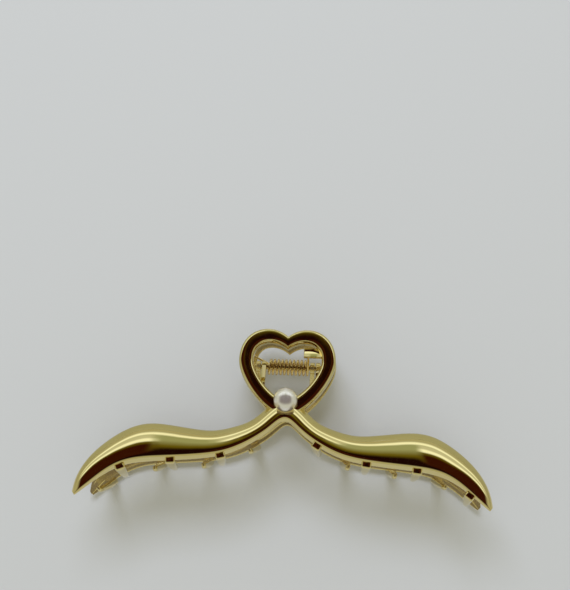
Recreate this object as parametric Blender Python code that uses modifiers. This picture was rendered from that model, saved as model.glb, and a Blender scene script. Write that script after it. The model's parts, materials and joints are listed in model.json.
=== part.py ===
"""A metal claw clip for hair: two cast jaws with heart-shaped finger rings, hinged on one pin.

Each jaw is one zinc casting: a heart ring, a pair of S-curved horn arms that are hollow at the back,
a comb of teeth under the arms, two hinge lugs and a seat with a peg for an imitation pearl.
The second jaw is the same casting turned half a turn about the clip's upright axis, so that the teeth
of one jaw lie between those of the other. A torsion spring on the pin holds the jaws shut.

Frames: a jaw is drawn with X along the hinge, Y up its flat back towards the heart and Z outwards,
with the hinge axis at the origin. The clip frame has the same X, Y up the middle between the jaws and
Z out of the front jaw. The clip then lies on its back jaw, on the plane Z = 0, as it would on a table.
"""

import math

import bmesh
import bpy
from mathutils import Matrix, Vector

MM = 0.001

# Hinge
JAW_LEAN = math.radians(12)
HINGE_TO_BACK = 5.4 * MM
PIN_DIAMETER = 1.6 * MM
PIN_CLEARANCE = 0.15 * MM
PIN_OVERHANG = 0.6 * MM
PIN_CHAMFER = 0.2 * MM
LUG_THICKNESS = 1.4 * MM
LUG_EYE_RADIUS = 1.7 * MM
LUG_SIDE_GAP = 0.3 * MM
END_FLOAT = 0.4 * MM
SPRING_SPACE = 13.2 * MM
LUG_ROOT_LENGTH = 3.4 * MM
LUG_ROOT_SINK = 1.2 * MM

# Heart ring
HEART_HALF_WIDTH = 14.4 * MM
HEART_WIDEST_AT = -0.5 * MM
HEART_NOTCH_AT = 7.0 * MM
HEART_POINT_AT = -17.8 * MM
HEART_NOTCH_PULL = Vector((0.37, 0.33))
HEART_LOBE_PULL = 0.66
HEART_FLANK_PULL = 0.33
HEART_POINT_PULL = Vector((0.45, 0.045))
RING_WIDTH = 4.3 * MM
RING_NOTCH_WIDTH = 3.9 * MM
RING_POINT_WIDTH = 5.2 * MM
RING_DEPTH = 4.0 * MM
RING_SETBACK = 0.2 * MM
RING_LAND_SHARE = 0.32
RING_WALL_SHARE = 0.45
RING_SHOULDER_POWER = 2.8
RING_BACK_EASE = 0.8 * MM
BACK_EASE_MIDDLE = 0.29

# Horn arms: lower edge (x, y), upper edge (x, y), depth in mm and how far the back is hollowed
ARM_STATIONS = (
    (0.0, -18.6, 0.0, -11.5, 4.6, 0.0),
    (5.0, -22.2, 8.4, -17.5, 4.8, 0.0),
    (10.5, -26.1, 13.6, -20.4, 5.0, 0.7),
    (17.5, -29.3, 19.5, -22.0, 5.3, 1.0),
    (25.5, -30.8, 25.5, -22.0, 5.6, 1.0),
    (34.0, -31.6, 33.5, -21.0, 5.9, 1.0),
    (43.0, -32.7, 43.0, -21.5, 6.0, 1.0),
    (50.0, -35.5, 52.3, -27.2, 5.0, 1.0),
    (55.2, -39.2, 57.7, -33.4, 3.5, 0.9),
    (58.6, -41.9, 60.1, -39.5, 2.1, 0.1),
    (59.6, -42.6, 60.4, -41.5, 1.2, 0.0),
)
ARM_WALL = 1.6 * MM
ARM_RIM_MOST_SHARE = 0.3
ARM_RIM_FOOT_SHARE = 0.85
ARM_DRAFT = math.radians(22)
ARM_UNDERSIDE_LIFT = 0.5
CROWN_AT = 0.12
CROWN_POWER = 2.0
CROWN_LOWER_DROP = 0.12
CROWN_EDGE = 0.07

# Teeth: distances from the middle on the casting's own right and left, in mm
RIGHT_TEETH = (9.8, 24.0, 38.5, 54.0)
LEFT_TEETH = (18.3, 32.5, 47.0)
TOOTH_ROOT_WIDTH = 3.0 * MM
TOOTH_TIP_WIDTH = 1.5 * MM
TOOTH_THICKNESS = 1.8 * MM
TOOTH_SINK = 0.5 * MM
TOOTH_FRONT_SETBACK = 0.35 * MM
TOOTH_PAST_MIDDLE = 3.0 * MM
TOOTH_HOOK = 1.6 * MM
TOOTH_TIP_SHARE = 0.18
TOOTH_TIP_END = 0.35
TOOTH_TIP_THINNING = 0.4
TOOTH_CHAMFER_SHARE = 0.45

# Pearl
PEARL_DIAMETER = 7.0 * MM
PEARL_AT = -13.5 * MM
PEARL_HEIGHT = 6.0 * MM
PEARL_GAP = 0.15 * MM
PEG_DIAMETER = 1.0 * MM
PEG_CLEARANCE = 0.2 * MM
PEG_LENGTH = 2.2 * MM
PEG_ROOT_SINK = 0.8 * MM
PEG_END_GAP = 0.3 * MM

# Torsion spring
WIRE_DIAMETER = 0.68 * MM
COIL_MEAN_RADIUS = 2.15 * MM
COIL_WHOLE_TURNS = 10
COIL_SIDE_GAP = 0.3 * MM
LEG_GAP = 0.3 * MM
LEG_RISE = 2.8 * MM
BACK_LEG_STRAIGHT = 2.4 * MM
BACK_LEG_BEND_SHARE = 0.15
BACK_LEG_ON_RING = 1.3 * MM

# Stop tab of the front jaw, which the spring's front leg pushes on
TAB_BOTTOM = 0.9 * MM
TAB_TOP = 4.0 * MM
TAB_INNER_END = 4.8 * MM
TAB_SINK = 1.2 * MM
TAB_BACK = 1.2 * MM
TAB_THICKNESS = 1.8 * MM
TAB_TAPER = 1.2 * MM

# Facets
WELD = 0.002 * MM
SHARP_ANGLE = math.radians(35)
ARM_STEPS = 4
FRONT_STEPS = 9
HOLLOW_STEPS = 5
RING_STEPS = 14
SHOULDER_STEPS = 5
TOOTH_STEPS = 6
ROUND_SIDES = 20
POINTS_PER_CURL = 9

PIN_RADIUS = PIN_DIAMETER / 2
BORE_RADIUS = PIN_RADIUS + PIN_CLEARANCE
PEARL_RADIUS = PEARL_DIAMETER / 2
WIRE_RADIUS = WIRE_DIAMETER / 2


def start_empty_scene():
    for obj in list(bpy.data.objects):
        bpy.data.objects.remove(obj, do_unlink=True)
    parts = bpy.data.collections.new("claw_clip")
    helpers = bpy.data.collections.new("claw_clip_cutters")
    bpy.context.scene.collection.children.link(parts)
    bpy.context.scene.collection.children.link(helpers)
    return parts, helpers


def plain_material(name, colour, metallic, roughness):
    material = bpy.data.materials.new(name)
    material.use_nodes = True
    shader = material.node_tree.nodes["Principled BSDF"]
    shader.inputs["Base Color"].default_value = (*colour, 1.0)
    shader.inputs["Metallic"].default_value = metallic
    shader.inputs["Roughness"].default_value = roughness
    return material


def object_from_bmesh(bm, name, collection):
    bmesh.ops.recalc_face_normals(bm, faces=bm.faces)
    mesh = bpy.data.meshes.new(name)
    bm.to_mesh(mesh)
    bm.free()
    obj = bpy.data.objects.new(name, mesh)
    collection.objects.link(obj)
    return obj


def helper_from_bmesh(bm, name, collection):
    obj = object_from_bmesh(bm, name, collection)
    obj.hide_render = True
    obj.display_type = "WIRE"
    return obj


def bake(obj):
    """Replaces the object's mesh by its evaluated one, welded and facing out, and drops its modifiers."""
    bpy.context.view_layer.update()
    graph = bpy.context.evaluated_depsgraph_get()
    mesh = bpy.data.meshes.new_from_object(obj.evaluated_get(graph))
    obj.modifiers.clear()
    obj.data = mesh
    bm = bmesh.new()
    bm.from_mesh(mesh)
    bmesh.ops.remove_doubles(bm, verts=bm.verts, dist=WELD)
    bmesh.ops.recalc_face_normals(bm, faces=bm.faces)
    bm.to_mesh(mesh)
    bm.free()


def mirrored(obj):
    """Makes a half that is open at X = 0 whole."""
    mirror = obj.modifiers.new("other_half", "MIRROR")
    mirror.merge_threshold = WELD
    bake(obj)


def boolean(obj, other, operation):
    modifier = obj.modifiers.new(other.name, "BOOLEAN")
    modifier.operation = operation
    modifier.solver = "EXACT"
    modifier.object = other
    bake(obj)
    bpy.data.objects.remove(other, do_unlink=True)


def loft(bm, sections, cap_start, cap_end):
    """Skins closed sections of equal point count, in order, and closes the ends that are asked for."""
    loops = [[bm.verts.new(point) for point in section] for section in sections]
    for first, second in zip(loops, loops[1:]):
        count = len(first)
        for i in range(count):
            j = (i + 1) % count
            bm.faces.new((first[i], first[j], second[j], second[i]))
    if cap_start:
        bm.faces.new(reversed(loops[0]))
    if cap_end:
        bm.faces.new(loops[-1])


def catmull_rom(before, start, end, after, t):
    """A smooth curve's value between start and end, for rows of numbers."""
    result = []
    for a, b, c, d in zip(before, start, end, after):
        bend = 2 * a - 5 * b + 4 * c - d
        twist = 3 * (b - c) + d - a
        result.append(b + t * (c - a + t * (bend + t * twist)) / 2)
    return result


def arm_rows():
    """The arm's stations, joined by a smooth curve that crosses X = 0 square to it."""
    rows = [list(row) for row in ARM_STATIONS]
    x_columns = (0, 2)
    ghost = [-value if i in x_columns else value for i, value in enumerate(rows[1])]
    beyond = [2 * last - value for last, value in zip(rows[-1], rows[-2])]
    padded = [ghost, *rows, beyond]
    smooth = []
    for i in range(1, len(rows)):
        for step in range(ARM_STEPS):
            smooth.append(catmull_rom(*padded[i - 1 : i + 3], step / ARM_STEPS))
    smooth.append(rows[-1])
    return smooth


def crown(share):
    """The arm's height over its flat back, as a share of its depth, from lower edge (0) to upper edge (1)."""
    if share < CROWN_AT:
        return 1 - CROWN_LOWER_DROP * ((CROWN_AT - share) / CROWN_AT) ** 2
    fall = ((share - CROWN_AT) / (1 - CROWN_AT)) ** CROWN_POWER
    return CROWN_EDGE + (1 - CROWN_EDGE) * max(0.0, 1 - fall) ** (1 / CROWN_POWER)


def arm_section(row):
    """One closed section of an arm: sloping underside, bulging front, thin upper edge and hollow back.

    The underside stops short of the flat back, by a share of the depth, so that a slim lower rim is left.
    """
    lower = Vector((row[0] * MM, row[1] * MM))
    upper = Vector((row[2] * MM, row[3] * MM))
    depth = row[4] * MM
    hollow = min(1.0, max(0.0, row[5]))
    width = (upper - lower).length
    rim = min(ARM_RIM_MOST_SHARE, ARM_WALL / width)
    lift = ARM_UNDERSIDE_LIFT * depth
    outline = [((lift - depth * crown(0.0)) * math.tan(ARM_DRAFT) / width, lift)]
    for i in range(FRONT_STEPS + 1):
        share = 0.5 - 0.5 * math.cos(math.pi * i / FRONT_STEPS)
        outline.append((share, depth * crown(share)))
    outline.append((1.0, 0.0))
    outline.append((1.0 - rim, 0.0))
    for i in range(1, HOLLOW_STEPS + 1):
        share = 1 - rim - (1 - 2 * rim) * i / HOLLOW_STEPS
        outline.append((share, hollow * max(0.0, depth * crown(share) - ARM_WALL)))
    outline.append((ARM_RIM_FOOT_SHARE * rim, lift))
    section = []
    for share, height in outline:
        place = lower.lerp(upper, share)
        section.append((place.x, place.y, HINGE_TO_BACK + height))
    return section


def make_arms(helpers):
    bm = bmesh.new()
    loft(bm, [arm_section(row) for row in arm_rows()], cap_start=False, cap_end=True)
    arms = helper_from_bmesh(bm, "arms", helpers)
    mirrored(arms)
    return arms


def bezier(points, t):
    a, b, c, d = points
    s = 1 - t
    return a * s**3 + b * (3 * s * s * t) + c * (3 * s * t * t) + d * t**3


def heart_half(half_width, widest_at, notch_at, point_at):
    """Right half of a heart's outline, from the notch round the lobe to the point: two Bezier arcs."""
    notch = Vector((0.0, notch_at))
    side = Vector((half_width, widest_at))
    point = Vector((0.0, point_at))
    flank_height = widest_at - point_at
    lobe = (
        notch,
        notch + half_width * HEART_NOTCH_PULL,
        side + Vector((0.0, half_width * HEART_LOBE_PULL)),
        side,
    )
    flank = (
        side,
        side - Vector((0.0, flank_height * HEART_FLANK_PULL)),
        point + Vector((half_width, flank_height)) * HEART_POINT_PULL,
        point,
    )
    rail = [bezier(lobe, i / RING_STEPS) for i in range(RING_STEPS)]
    rail += [bezier(flank, i / RING_STEPS) for i in range(RING_STEPS + 1)]
    return rail


def heart_rails():
    outer = heart_half(HEART_HALF_WIDTH, HEART_WIDEST_AT, HEART_NOTCH_AT, HEART_POINT_AT)
    inner = heart_half(
        HEART_HALF_WIDTH - RING_WIDTH,
        HEART_WIDEST_AT,
        HEART_NOTCH_AT - RING_NOTCH_WIDTH,
        HEART_POINT_AT + RING_POINT_WIDTH,
    )
    return inner, outer


def ring_profile():
    """The ring's section as (share of width, share of depth): eased back edges, upright walls, full
    shoulders and a flat land."""
    shoulder = (1 - RING_LAND_SHARE) / 2
    across, upward = RING_BACK_EASE / RING_WIDTH, RING_BACK_EASE / (RING_DEPTH - RING_SETBACK)
    rise = [(across, 0.0), (across * BACK_EASE_MIDDLE, upward * BACK_EASE_MIDDLE), (0.0, upward)]
    for i in range(SHOULDER_STEPS + 1):
        inward = math.sin(0.5 * math.pi * i / SHOULDER_STEPS) ** (2 / RING_SHOULDER_POWER)
        outward = math.cos(0.5 * math.pi * i / SHOULDER_STEPS) ** (2 / RING_SHOULDER_POWER)
        rise.append((shoulder * (1 - outward), RING_WALL_SHARE + (1 - RING_WALL_SHARE) * inward))
    return rise + [(1 - share, height) for share, height in reversed(rise)]


def make_ring(helpers):
    inner, outer = heart_rails()
    profile = ring_profile()
    base = HINGE_TO_BACK + RING_SETBACK
    sections = []
    for near, far in zip(inner, outer):
        section = []
        for share, height in profile:
            place = near.lerp(far, share)
            section.append((place.x, place.y, base + (RING_DEPTH - RING_SETBACK) * height))
        sections.append(section)
    bm = bmesh.new()
    loft(bm, sections, cap_start=False, cap_end=False)
    ring = helper_from_bmesh(bm, "heart_ring", helpers)
    mirrored(ring)
    return ring


def lower_edge(x):
    """Height, depth and slope of the arm's lower front edge at a distance x from the middle."""
    rows = arm_rows()
    for first, second in zip(rows, rows[1:]):
        if second[0] * MM >= x:
            share = (x / MM - first[0]) / (second[0] - first[0])
            height = (first[1] + share * (second[1] - first[1])) * MM
            depth = (first[4] + share * (second[4] - first[4])) * MM
            slope = math.atan2(second[1] - first[1], second[0] - first[0])
            return height, depth, slope
    raise ValueError("the tooth lies past the arm's tip")


def tooth_sections(x, side):
    """A tooth runs back from the arm's lower front edge to a little past the middle of the clip."""
    height, depth, slope = lower_edge(x)
    along = Vector((side * math.cos(slope), math.sin(slope), 0.0))
    down = Vector((side * math.sin(slope), -math.cos(slope), 0.0))
    front = HINGE_TO_BACK + depth * crown(0.0) - TOOTH_FRONT_SETBACK
    back = (height * math.sin(JAW_LEAN) - TOOTH_PAST_MIDDLE) / math.cos(JAW_LEAN)
    flat = 1 - TOOTH_CHAMFER_SHARE
    corners = ((-1.0, 0.0), (-1.0, flat), (-flat, 1.0), (flat, 1.0), (1.0, flat), (1.0, 0.0))
    sections = []
    for i in range(TOOTH_STEPS + 1):
        share = math.sin(0.5 * math.pi * i / TOOTH_STEPS)
        taper = 1 - share
        past = max(0.0, share - 1 + TOOTH_TIP_SHARE) / TOOTH_TIP_SHARE
        narrow = TOOTH_TIP_END + (1 - TOOTH_TIP_END) * math.sqrt(1 - past * past)
        width = (TOOTH_TIP_WIDTH + (TOOTH_ROOT_WIDTH - TOOTH_TIP_WIDTH) * taper) * narrow
        thick = TOOTH_THICKNESS * (1 - TOOTH_TIP_THINNING * share) * narrow
        hook = TOOTH_HOOK * share * share
        centre = Vector((side * x, height, front + (back - front) * share))
        section = []
        for across, drop in corners:
            offset = along * (across * width / 2)
            sag = down * (drop * (thick + TOOTH_SINK) - TOOTH_SINK - hook)
            section.append(centre + offset + sag)
        sections.append(section)
    return sections


def make_teeth(helpers):
    bm = bmesh.new()
    for side, places in ((1, RIGHT_TEETH), (-1, LEFT_TEETH)):
        for place in places:
            loft(bm, tooth_sections(place * MM, side), cap_start=True, cap_end=True)
    return helper_from_bmesh(bm, "teeth", helpers)


def ring_inside_at(x):
    """Height of the ring's inner edge on its lower flank, at a distance x from the middle."""
    inner, _ = heart_rails()
    flank = inner[RING_STEPS:]
    for first, second in zip(flank, flank[1:]):
        if second.x <= x:
            share = (first.x - x) / (first.x - second.x)
            return first.y + share * (second.y - first.y)
    raise ValueError("the lug lies outside the heart's hole")


def make_lug(x_low, helpers, name):
    """A flat ear that grows from the ring's inner flank and ends in a round eye on the hinge axis."""
    middle = abs(x_low + LUG_THICKNESS / 2)
    root_top = ring_inside_at(middle) + LUG_ROOT_SINK / 2
    root_low = HINGE_TO_BACK + RING_SETBACK + LUG_ROOT_SINK
    bm = bmesh.new()
    for x in (x_low, x_low + LUG_THICKNESS):
        for i in range(ROUND_SIDES):
            angle = 2 * math.pi * i / ROUND_SIDES
            bm.verts.new((x, LUG_EYE_RADIUS * math.sin(angle), LUG_EYE_RADIUS * math.cos(angle)))
        for y in (root_top, root_top - LUG_ROOT_LENGTH):
            bm.verts.new((x, y, root_low))
    hull = bmesh.ops.convex_hull(bm, input=bm.verts)
    inside = [item for item in hull["geom_interior"] if isinstance(item, bmesh.types.BMVert)]
    bmesh.ops.delete(bm, geom=inside, context="VERTS")
    return helper_from_bmesh(bm, name, helpers)


def lug_places():
    """The low X of a casting's inner lug, on its left, and of its outer lug, on its right."""
    inner_face = SPRING_SPACE / 2 - END_FLOAT / 2
    inner = -inner_face - LUG_THICKNESS
    outer = inner_face + LUG_THICKNESS + LUG_SIDE_GAP + END_FLOAT
    return inner, outer


def make_bar(radius, x_low, x_high, helpers, name):
    """A round bar along the hinge axis."""
    bm = bmesh.new()
    bmesh.ops.create_cone(
        bm, cap_ends=True, segments=ROUND_SIDES, radius1=radius, radius2=radius, depth=x_high - x_low
    )
    turn = Matrix.Rotation(math.pi / 2, 4, "Y")
    shift = Matrix.Translation(((x_low + x_high) / 2, 0.0, 0.0))
    bmesh.ops.transform(bm, matrix=shift @ turn, verts=bm.verts)
    return helper_from_bmesh(bm, name, helpers)


def make_tab(helpers):
    """The small wedge-shaped stop inside the front heart's right, sunk into the ring at its outer end."""
    inner, _ = heart_rails()
    middle = (TAB_BOTTOM + TAB_TOP) / 2
    lobe = [point for point in inner[:RING_STEPS] if point.x > TAB_INNER_END]
    wall = min(lobe, key=lambda point: abs(point.y - middle))
    size = (wall.x + TAB_SINK - TAB_INNER_END, TAB_TOP - TAB_BOTTOM, TAB_THICKNESS)
    centre = (TAB_INNER_END + size[0] / 2, middle, HINGE_TO_BACK + TAB_BACK + TAB_THICKNESS / 2)
    bm = bmesh.new()
    bmesh.ops.create_cube(bm, size=1.0)
    bmesh.ops.scale(bm, vec=size, verts=bm.verts)
    top_front = [vert for vert in bm.verts if vert.co.y > 0 and vert.co.z > 0]
    bmesh.ops.translate(bm, vec=(0.0, 0.0, -TAB_TAPER), verts=top_front)
    bmesh.ops.translate(bm, vec=centre, verts=bm.verts)
    return helper_from_bmesh(bm, "stop_tab", helpers)


def upright_bar(radius, z_low, z_high, helpers, name):
    """A round bar square to the jaw's back, on the pearl's centre line."""
    bm = bmesh.new()
    bmesh.ops.create_cone(
        bm, cap_ends=True, segments=ROUND_SIDES // 2, radius1=radius, radius2=radius, depth=z_high - z_low
    )
    bmesh.ops.translate(bm, vec=(0.0, PEARL_AT, (z_low + z_high) / 2), verts=bm.verts)
    return helper_from_bmesh(bm, name, helpers)


def pearl_ball(radius, collection, name):
    bm = bmesh.new()
    bmesh.ops.create_uvsphere(bm, u_segments=ROUND_SIDES, v_segments=ROUND_SIDES // 2 + 2, radius=radius)
    bmesh.ops.translate(bm, vec=(0.0, PEARL_AT, HINGE_TO_BACK + PEARL_HEIGHT), verts=bm.verts)
    return helper_from_bmesh(bm, name, collection)


def seat_bottom():
    return HINGE_TO_BACK + PEARL_HEIGHT - PEARL_RADIUS - PEARL_GAP


def make_jaw(name, has_tab, parts, helpers):
    """One casting, with its hinge axis at the object's origin."""
    jaw = make_arms(helpers)
    boolean(jaw, make_ring(helpers), "UNION")
    boolean(jaw, make_teeth(helpers), "UNION")
    inner, outer = lug_places()
    boolean(jaw, make_lug(inner, helpers, "inner_lug"), "UNION")
    boolean(jaw, make_lug(outer, helpers, "outer_lug"), "UNION")
    if has_tab:
        boolean(jaw, make_tab(helpers), "UNION")
    bore_reach = outer + LUG_THICKNESS + PIN_OVERHANG
    boolean(jaw, make_bar(BORE_RADIUS, -bore_reach, bore_reach, helpers, "bore"), "DIFFERENCE")
    boolean(jaw, pearl_ball(PEARL_RADIUS + PEARL_GAP, helpers, "seat"), "DIFFERENCE")
    peg_low = seat_bottom() - PEG_ROOT_SINK
    peg_high = seat_bottom() + PEG_LENGTH
    boolean(jaw, upright_bar(PEG_DIAMETER / 2, peg_low, peg_high, helpers, "peg"), "UNION")
    return as_part(jaw, name, parts, helpers)


def make_pearl(name, parts, helpers):
    """An imitation pearl, half drilled to fit over the peg."""
    pearl = pearl_ball(PEARL_RADIUS, helpers, name)
    hole_low = seat_bottom() - PEARL_GAP
    hole_high = seat_bottom() + PEG_LENGTH + PEG_END_GAP
    hole_radius = PEG_DIAMETER / 2 + PEG_CLEARANCE
    boolean(pearl, upright_bar(hole_radius, hole_low, hole_high, helpers, "peg_hole"), "DIFFERENCE")
    return as_part(pearl, name, parts, helpers)


def make_pin(parts, helpers):
    _, outer = lug_places()
    reach = outer - END_FLOAT / 2 + LUG_THICKNESS + PIN_OVERHANG
    pin = make_bar(PIN_RADIUS, -reach, reach, helpers, "hinge_pin")
    chamfer = pin.modifiers.new("chamfer", "BEVEL")
    chamfer.width = PIN_CHAMFER
    chamfer.segments = 1
    chamfer.limit_method = "ANGLE"
    return as_part(pin, "hinge_pin", parts, helpers)


def as_part(obj, name, parts, helpers):
    """Moves a finished helper to the collection of parts, under its own name."""
    helpers.objects.unlink(obj)
    parts.objects.link(obj)
    obj.hide_render = False
    obj.display_type = "TEXTURED"
    obj.name = name
    obj.data.name = name
    obj.data.shade_smooth()
    obj.data.set_sharp_from_angle(angle=SHARP_ANGLE)
    return obj


def jaw_turn(front):
    """A jaw's turn in the clip frame. The jaws lean together at the heart end."""
    lean = Matrix.Rotation(-JAW_LEAN, 4, "X")
    return lean if front else Matrix.Rotation(math.pi, 4, "Y") @ lean


def jaw_place(front):
    shift = -END_FLOAT / 2 if front else END_FLOAT / 2
    return Matrix.Translation((shift, 0.0, 0.0)) @ jaw_turn(front)


def coil_angle(end, direction):
    """Where a straight leg to the point end (y, z) leaves the coil, turning on in the given direction."""
    distance = math.hypot(*end)
    return math.atan2(end[0], end[1]) - direction * math.acos(COIL_MEAN_RADIUS / distance)


def front_leg(start, end):
    """The straight leg that leaves the coil for the front jaw's tab."""
    return [start.lerp(end, 0.5), end]


def back_leg(start, end):
    """The leg to the back ring: straight until it is clear of the lugs, then bent outwards."""
    bend = start + Vector((0.0, end.y - start.y, end.z - start.z)).normalized() * BACK_LEG_STRAIGHT
    return [bend, bend.lerp(end, BACK_LEG_BEND_SHARE), bend.lerp(end, 0.5), end]


def spring_path():
    """The wire's middle line in the clip frame, from its back leg round the coil to its front leg."""
    reach = SPRING_SPACE / 2 - COIL_SIDE_GAP - WIRE_RADIUS
    leg_off = WIRE_RADIUS + LEG_GAP
    tab_back = HINGE_TO_BACK + TAB_BACK - leg_off
    front_end = jaw_turn(True) @ Vector((0.0, LEG_RISE, tab_back))
    front_end.x = reach
    ring_back = HINGE_TO_BACK + RING_SETBACK - leg_off
    back_end = jaw_turn(False) @ Vector((0.0, LEG_RISE, ring_back))
    back_end.x = -(HEART_HALF_WIDTH - RING_WIDTH + BACK_LEG_ON_RING) + END_FLOAT / 2
    first = coil_angle((back_end.y, back_end.z), -1) - 2 * math.pi
    last = coil_angle((front_end.y, front_end.z), 1) + 2 * math.pi * COIL_WHOLE_TURNS
    turns = (last - first) / (2 * math.pi)
    count = round(turns * POINTS_PER_CURL)
    coil = []
    for i in range(count + 1):
        angle = first + (last - first) * i / count
        x = -reach + 2 * reach * i / count
        coil.append(Vector((x, COIL_MEAN_RADIUS * math.sin(angle), COIL_MEAN_RADIUS * math.cos(angle))))
    return back_leg(coil[0], back_end)[::-1] + coil + front_leg(coil[-1], front_end)


def least_gap(path):
    """The least clear distance between points of the wire that lie half a curl or more apart along it."""
    apart = POINTS_PER_CURL // 2
    nearest = min(
        (path[i] - path[j]).length for i in range(len(path)) for j in range(i + apart, len(path))
    )
    return nearest - WIRE_DIAMETER


def make_spring(parts):
    path = spring_path()
    print(f"torsion_spring: least gap to itself {least_gap(path) / MM:.2f} mm")
    curve = bpy.data.curves.new("torsion_spring", "CURVE")
    curve.dimensions = "3D"
    curve.bevel_depth = WIRE_RADIUS
    curve.bevel_resolution = 1
    curve.use_fill_caps = True
    spline = curve.splines.new("POLY")
    spline.points.add(len(path) - 1)
    for point, place in zip(spline.points, path):
        point.co = (*place, 1.0)
    spring = bpy.data.objects.new("torsion_spring", curve)
    parts.objects.link(spring)
    return spring


def world_points(objects):
    bpy.context.view_layer.update()
    graph = bpy.context.evaluated_depsgraph_get()
    points = []
    for obj in objects:
        evaluated = obj.evaluated_get(graph)
        mesh = evaluated.to_mesh()
        points += [evaluated.matrix_world @ vertex.co for vertex in mesh.vertices]
        evaluated.to_mesh_clear()
    return points


def lie_down(clip, back_jaw, back_pearl):
    """Leans the clip until its back pearl and its back arms touch the table together."""
    jaw = world_points([back_jaw])
    pearl = world_points([back_pearl])

    def lowest(points, lean):
        return min(point.y * math.sin(lean) + point.z * math.cos(lean) for point in points)

    low, high = math.radians(-40), math.radians(40)
    for _ in range(50):
        lean = (low + high) / 2
        if lowest(pearl, lean) < lowest(jaw, lean):
            low = lean
        else:
            high = lean
    clip.rotation_euler.x = lean
    clip.location.z = -lowest(jaw, lean)
    print(f"clip leans {math.degrees(lean):.2f} degrees, heart end up")


def centre_on_origin(clip, pieces):
    points = world_points(pieces)
    sides = [[point[axis] for point in points] for axis in range(3)]
    clip.location.x -= (min(sides[0]) + max(sides[0])) / 2
    clip.location.y -= (min(sides[1]) + max(sides[1])) / 2
    clip.location.z -= min(sides[2])


def build():
    parts, helpers = start_empty_scene()
    gold = plain_material("gold_plated_zinc", (0.83, 0.71, 0.38), 1.0, 0.12)
    wire = plain_material("brassed_spring_wire", (0.78, 0.56, 0.30), 1.0, 0.25)
    steel = plain_material("plated_pin_steel", (0.74, 0.62, 0.36), 1.0, 0.22)
    nacre = plain_material("pearl_lacquer", (0.90, 0.88, 0.85), 0.0, 0.15)

    clip = bpy.data.objects.new("clip_frame", None)
    parts.objects.link(clip)
    front_jaw = make_jaw("front_jaw", True, parts, helpers)
    back_jaw = make_jaw("back_jaw", False, parts, helpers)
    front_pearl = make_pearl("front_pearl", parts, helpers)
    back_pearl = make_pearl("back_pearl", parts, helpers)
    hinge_pin = make_pin(parts, helpers)
    spring = make_spring(parts)

    pieces = {
        front_jaw: (jaw_place(True), gold),
        front_pearl: (jaw_place(True), nacre),
        back_jaw: (jaw_place(False), gold),
        back_pearl: (jaw_place(False), nacre),
        hinge_pin: (Matrix.Identity(4), steel),
        spring: (Matrix.Identity(4), wire),
    }
    for piece, (place, material) in pieces.items():
        piece.parent = clip
        piece.matrix_local = place
        piece.data.materials.append(material)
    lie_down(clip, back_jaw, back_pearl)
    centre_on_origin(clip, pieces)
    bpy.context.view_layer.update()
    hinge = clip.matrix_world.translation / MM
    print(f"hinge axis at y {hinge.y:.3f}, z {hinge.z:.3f} mm")


build()
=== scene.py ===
# %% [markdown]
# # A gold claw clip with heart rings
# The clip is two cast jaws on one hinge pin, with a torsion spring and a pearl at each crossing. The
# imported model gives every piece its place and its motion. Its solids are faceted, and facets would show
# at once in mirror-polished metal, so each piece is made again here, finer and on the same measurements,
# and takes the place of its solid.

# %% Load the frame
import json
import math

import bmesh
import bpy
import numpy as np
from mathutils import Matrix, Vector


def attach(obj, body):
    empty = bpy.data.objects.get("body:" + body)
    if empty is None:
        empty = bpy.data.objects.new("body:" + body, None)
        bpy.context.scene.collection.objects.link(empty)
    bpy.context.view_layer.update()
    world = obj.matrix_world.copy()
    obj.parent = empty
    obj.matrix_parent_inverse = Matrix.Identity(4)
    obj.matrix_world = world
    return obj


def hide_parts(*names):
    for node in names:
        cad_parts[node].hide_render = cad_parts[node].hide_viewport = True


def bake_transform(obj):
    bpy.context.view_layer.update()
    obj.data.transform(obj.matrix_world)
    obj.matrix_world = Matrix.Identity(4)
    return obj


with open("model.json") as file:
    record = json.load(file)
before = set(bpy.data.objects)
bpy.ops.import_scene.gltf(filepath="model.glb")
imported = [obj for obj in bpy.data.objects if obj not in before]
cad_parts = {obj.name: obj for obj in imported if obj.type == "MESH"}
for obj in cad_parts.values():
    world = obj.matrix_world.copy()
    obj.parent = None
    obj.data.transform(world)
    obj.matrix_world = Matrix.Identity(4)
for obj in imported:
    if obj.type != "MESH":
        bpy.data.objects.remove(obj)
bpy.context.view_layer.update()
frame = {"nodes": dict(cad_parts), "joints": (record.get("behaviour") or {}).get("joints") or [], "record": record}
print("pieces of the frame:", ", ".join(sorted(frame["nodes"])))

# %% [markdown]
# ## Where a jaw is
# A jaw is easiest to draw flat: X along the hinge, Y up its back towards the heart, Z out of its face, in
# millimetres, with the hinge axis at the origin. The record's two mounts lie on the heart rings' flat
# lands, and their axes say how each jaw is tilted, so one matrix for each jaw carries the drawing to its
# place.

# %% Places of the two jaws
MM = 0.001
END_FLOAT = 0.4
hinge = Vector(frame["joints"][0]["pos_m"])
mount_axes = {mount["name"]: Vector(mount["axis"]).normalized() for mount in frame["record"]["mounts"]}


def jaw_place(outward, along):
    """The matrix from a jaw's own millimetres to the row frame."""
    turn = Matrix((along, outward.cross(along), outward)).transposed().to_4x4()
    slide = Matrix.Translation(hinge - along * (END_FLOAT / 2 * MM))
    return slide @ turn @ Matrix.Scale(MM, 4)


front_place = jaw_place(mount_axes["thumb_face"], Vector((1, 0, 0)))
back_place = jaw_place(mount_axes["finger_face"], Vector((-1, 0, 0)))
print("front jaw tilts", round(math.degrees(math.asin(mount_axes["thumb_face"].y)), 2), "degrees")

# %% [markdown]
# ## Helpers for shapes
# A cast form that changes its section all along is skinned from loops: each loop is one section, and
# bridge_loops joins it to the next. Corners of real castings are never knife-sharp, and the narrow
# rounding is what catches a thin line of light, so a section's corners are eased before it is skinned. A
# turned form is half an outline spun about its axis.

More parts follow.
